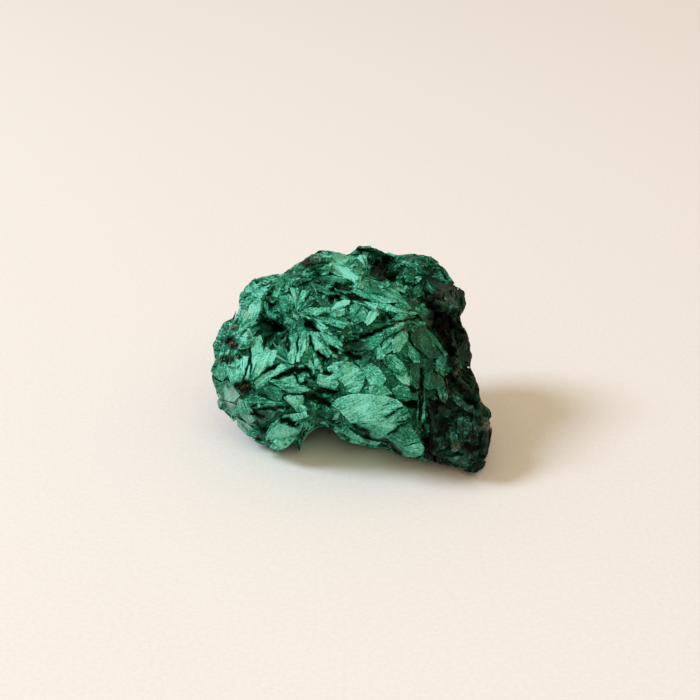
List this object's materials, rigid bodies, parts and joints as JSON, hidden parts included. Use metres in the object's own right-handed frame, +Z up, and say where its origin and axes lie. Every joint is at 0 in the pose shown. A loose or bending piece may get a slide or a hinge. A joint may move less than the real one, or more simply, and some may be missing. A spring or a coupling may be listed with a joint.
{
  "type": "malachite specimen",
  "caption": "Broken lump of fibrous malachite with rosettes of blades, a flat plate, a small arch and feet it rests on; a natural mineral specimen for display.",
  "frame": {"origin": "middle of the bounding box, on the plane that the stone rests on", "axes": "+Z up as it rests; -Y the front with the rosettes and the flat plate; +X the right end with the dark crust"},
  "size_m": [0.0608, 0.0473, 0.0404],
  "materials": {
    "malachite": "natural fibrous malachite, silky green blades with dark seams and dark crumbly crust, not polished"
  },
  "bodies": {
    "root": {"malachite_specimen": "malachite"}
  },
  "joints": []
}
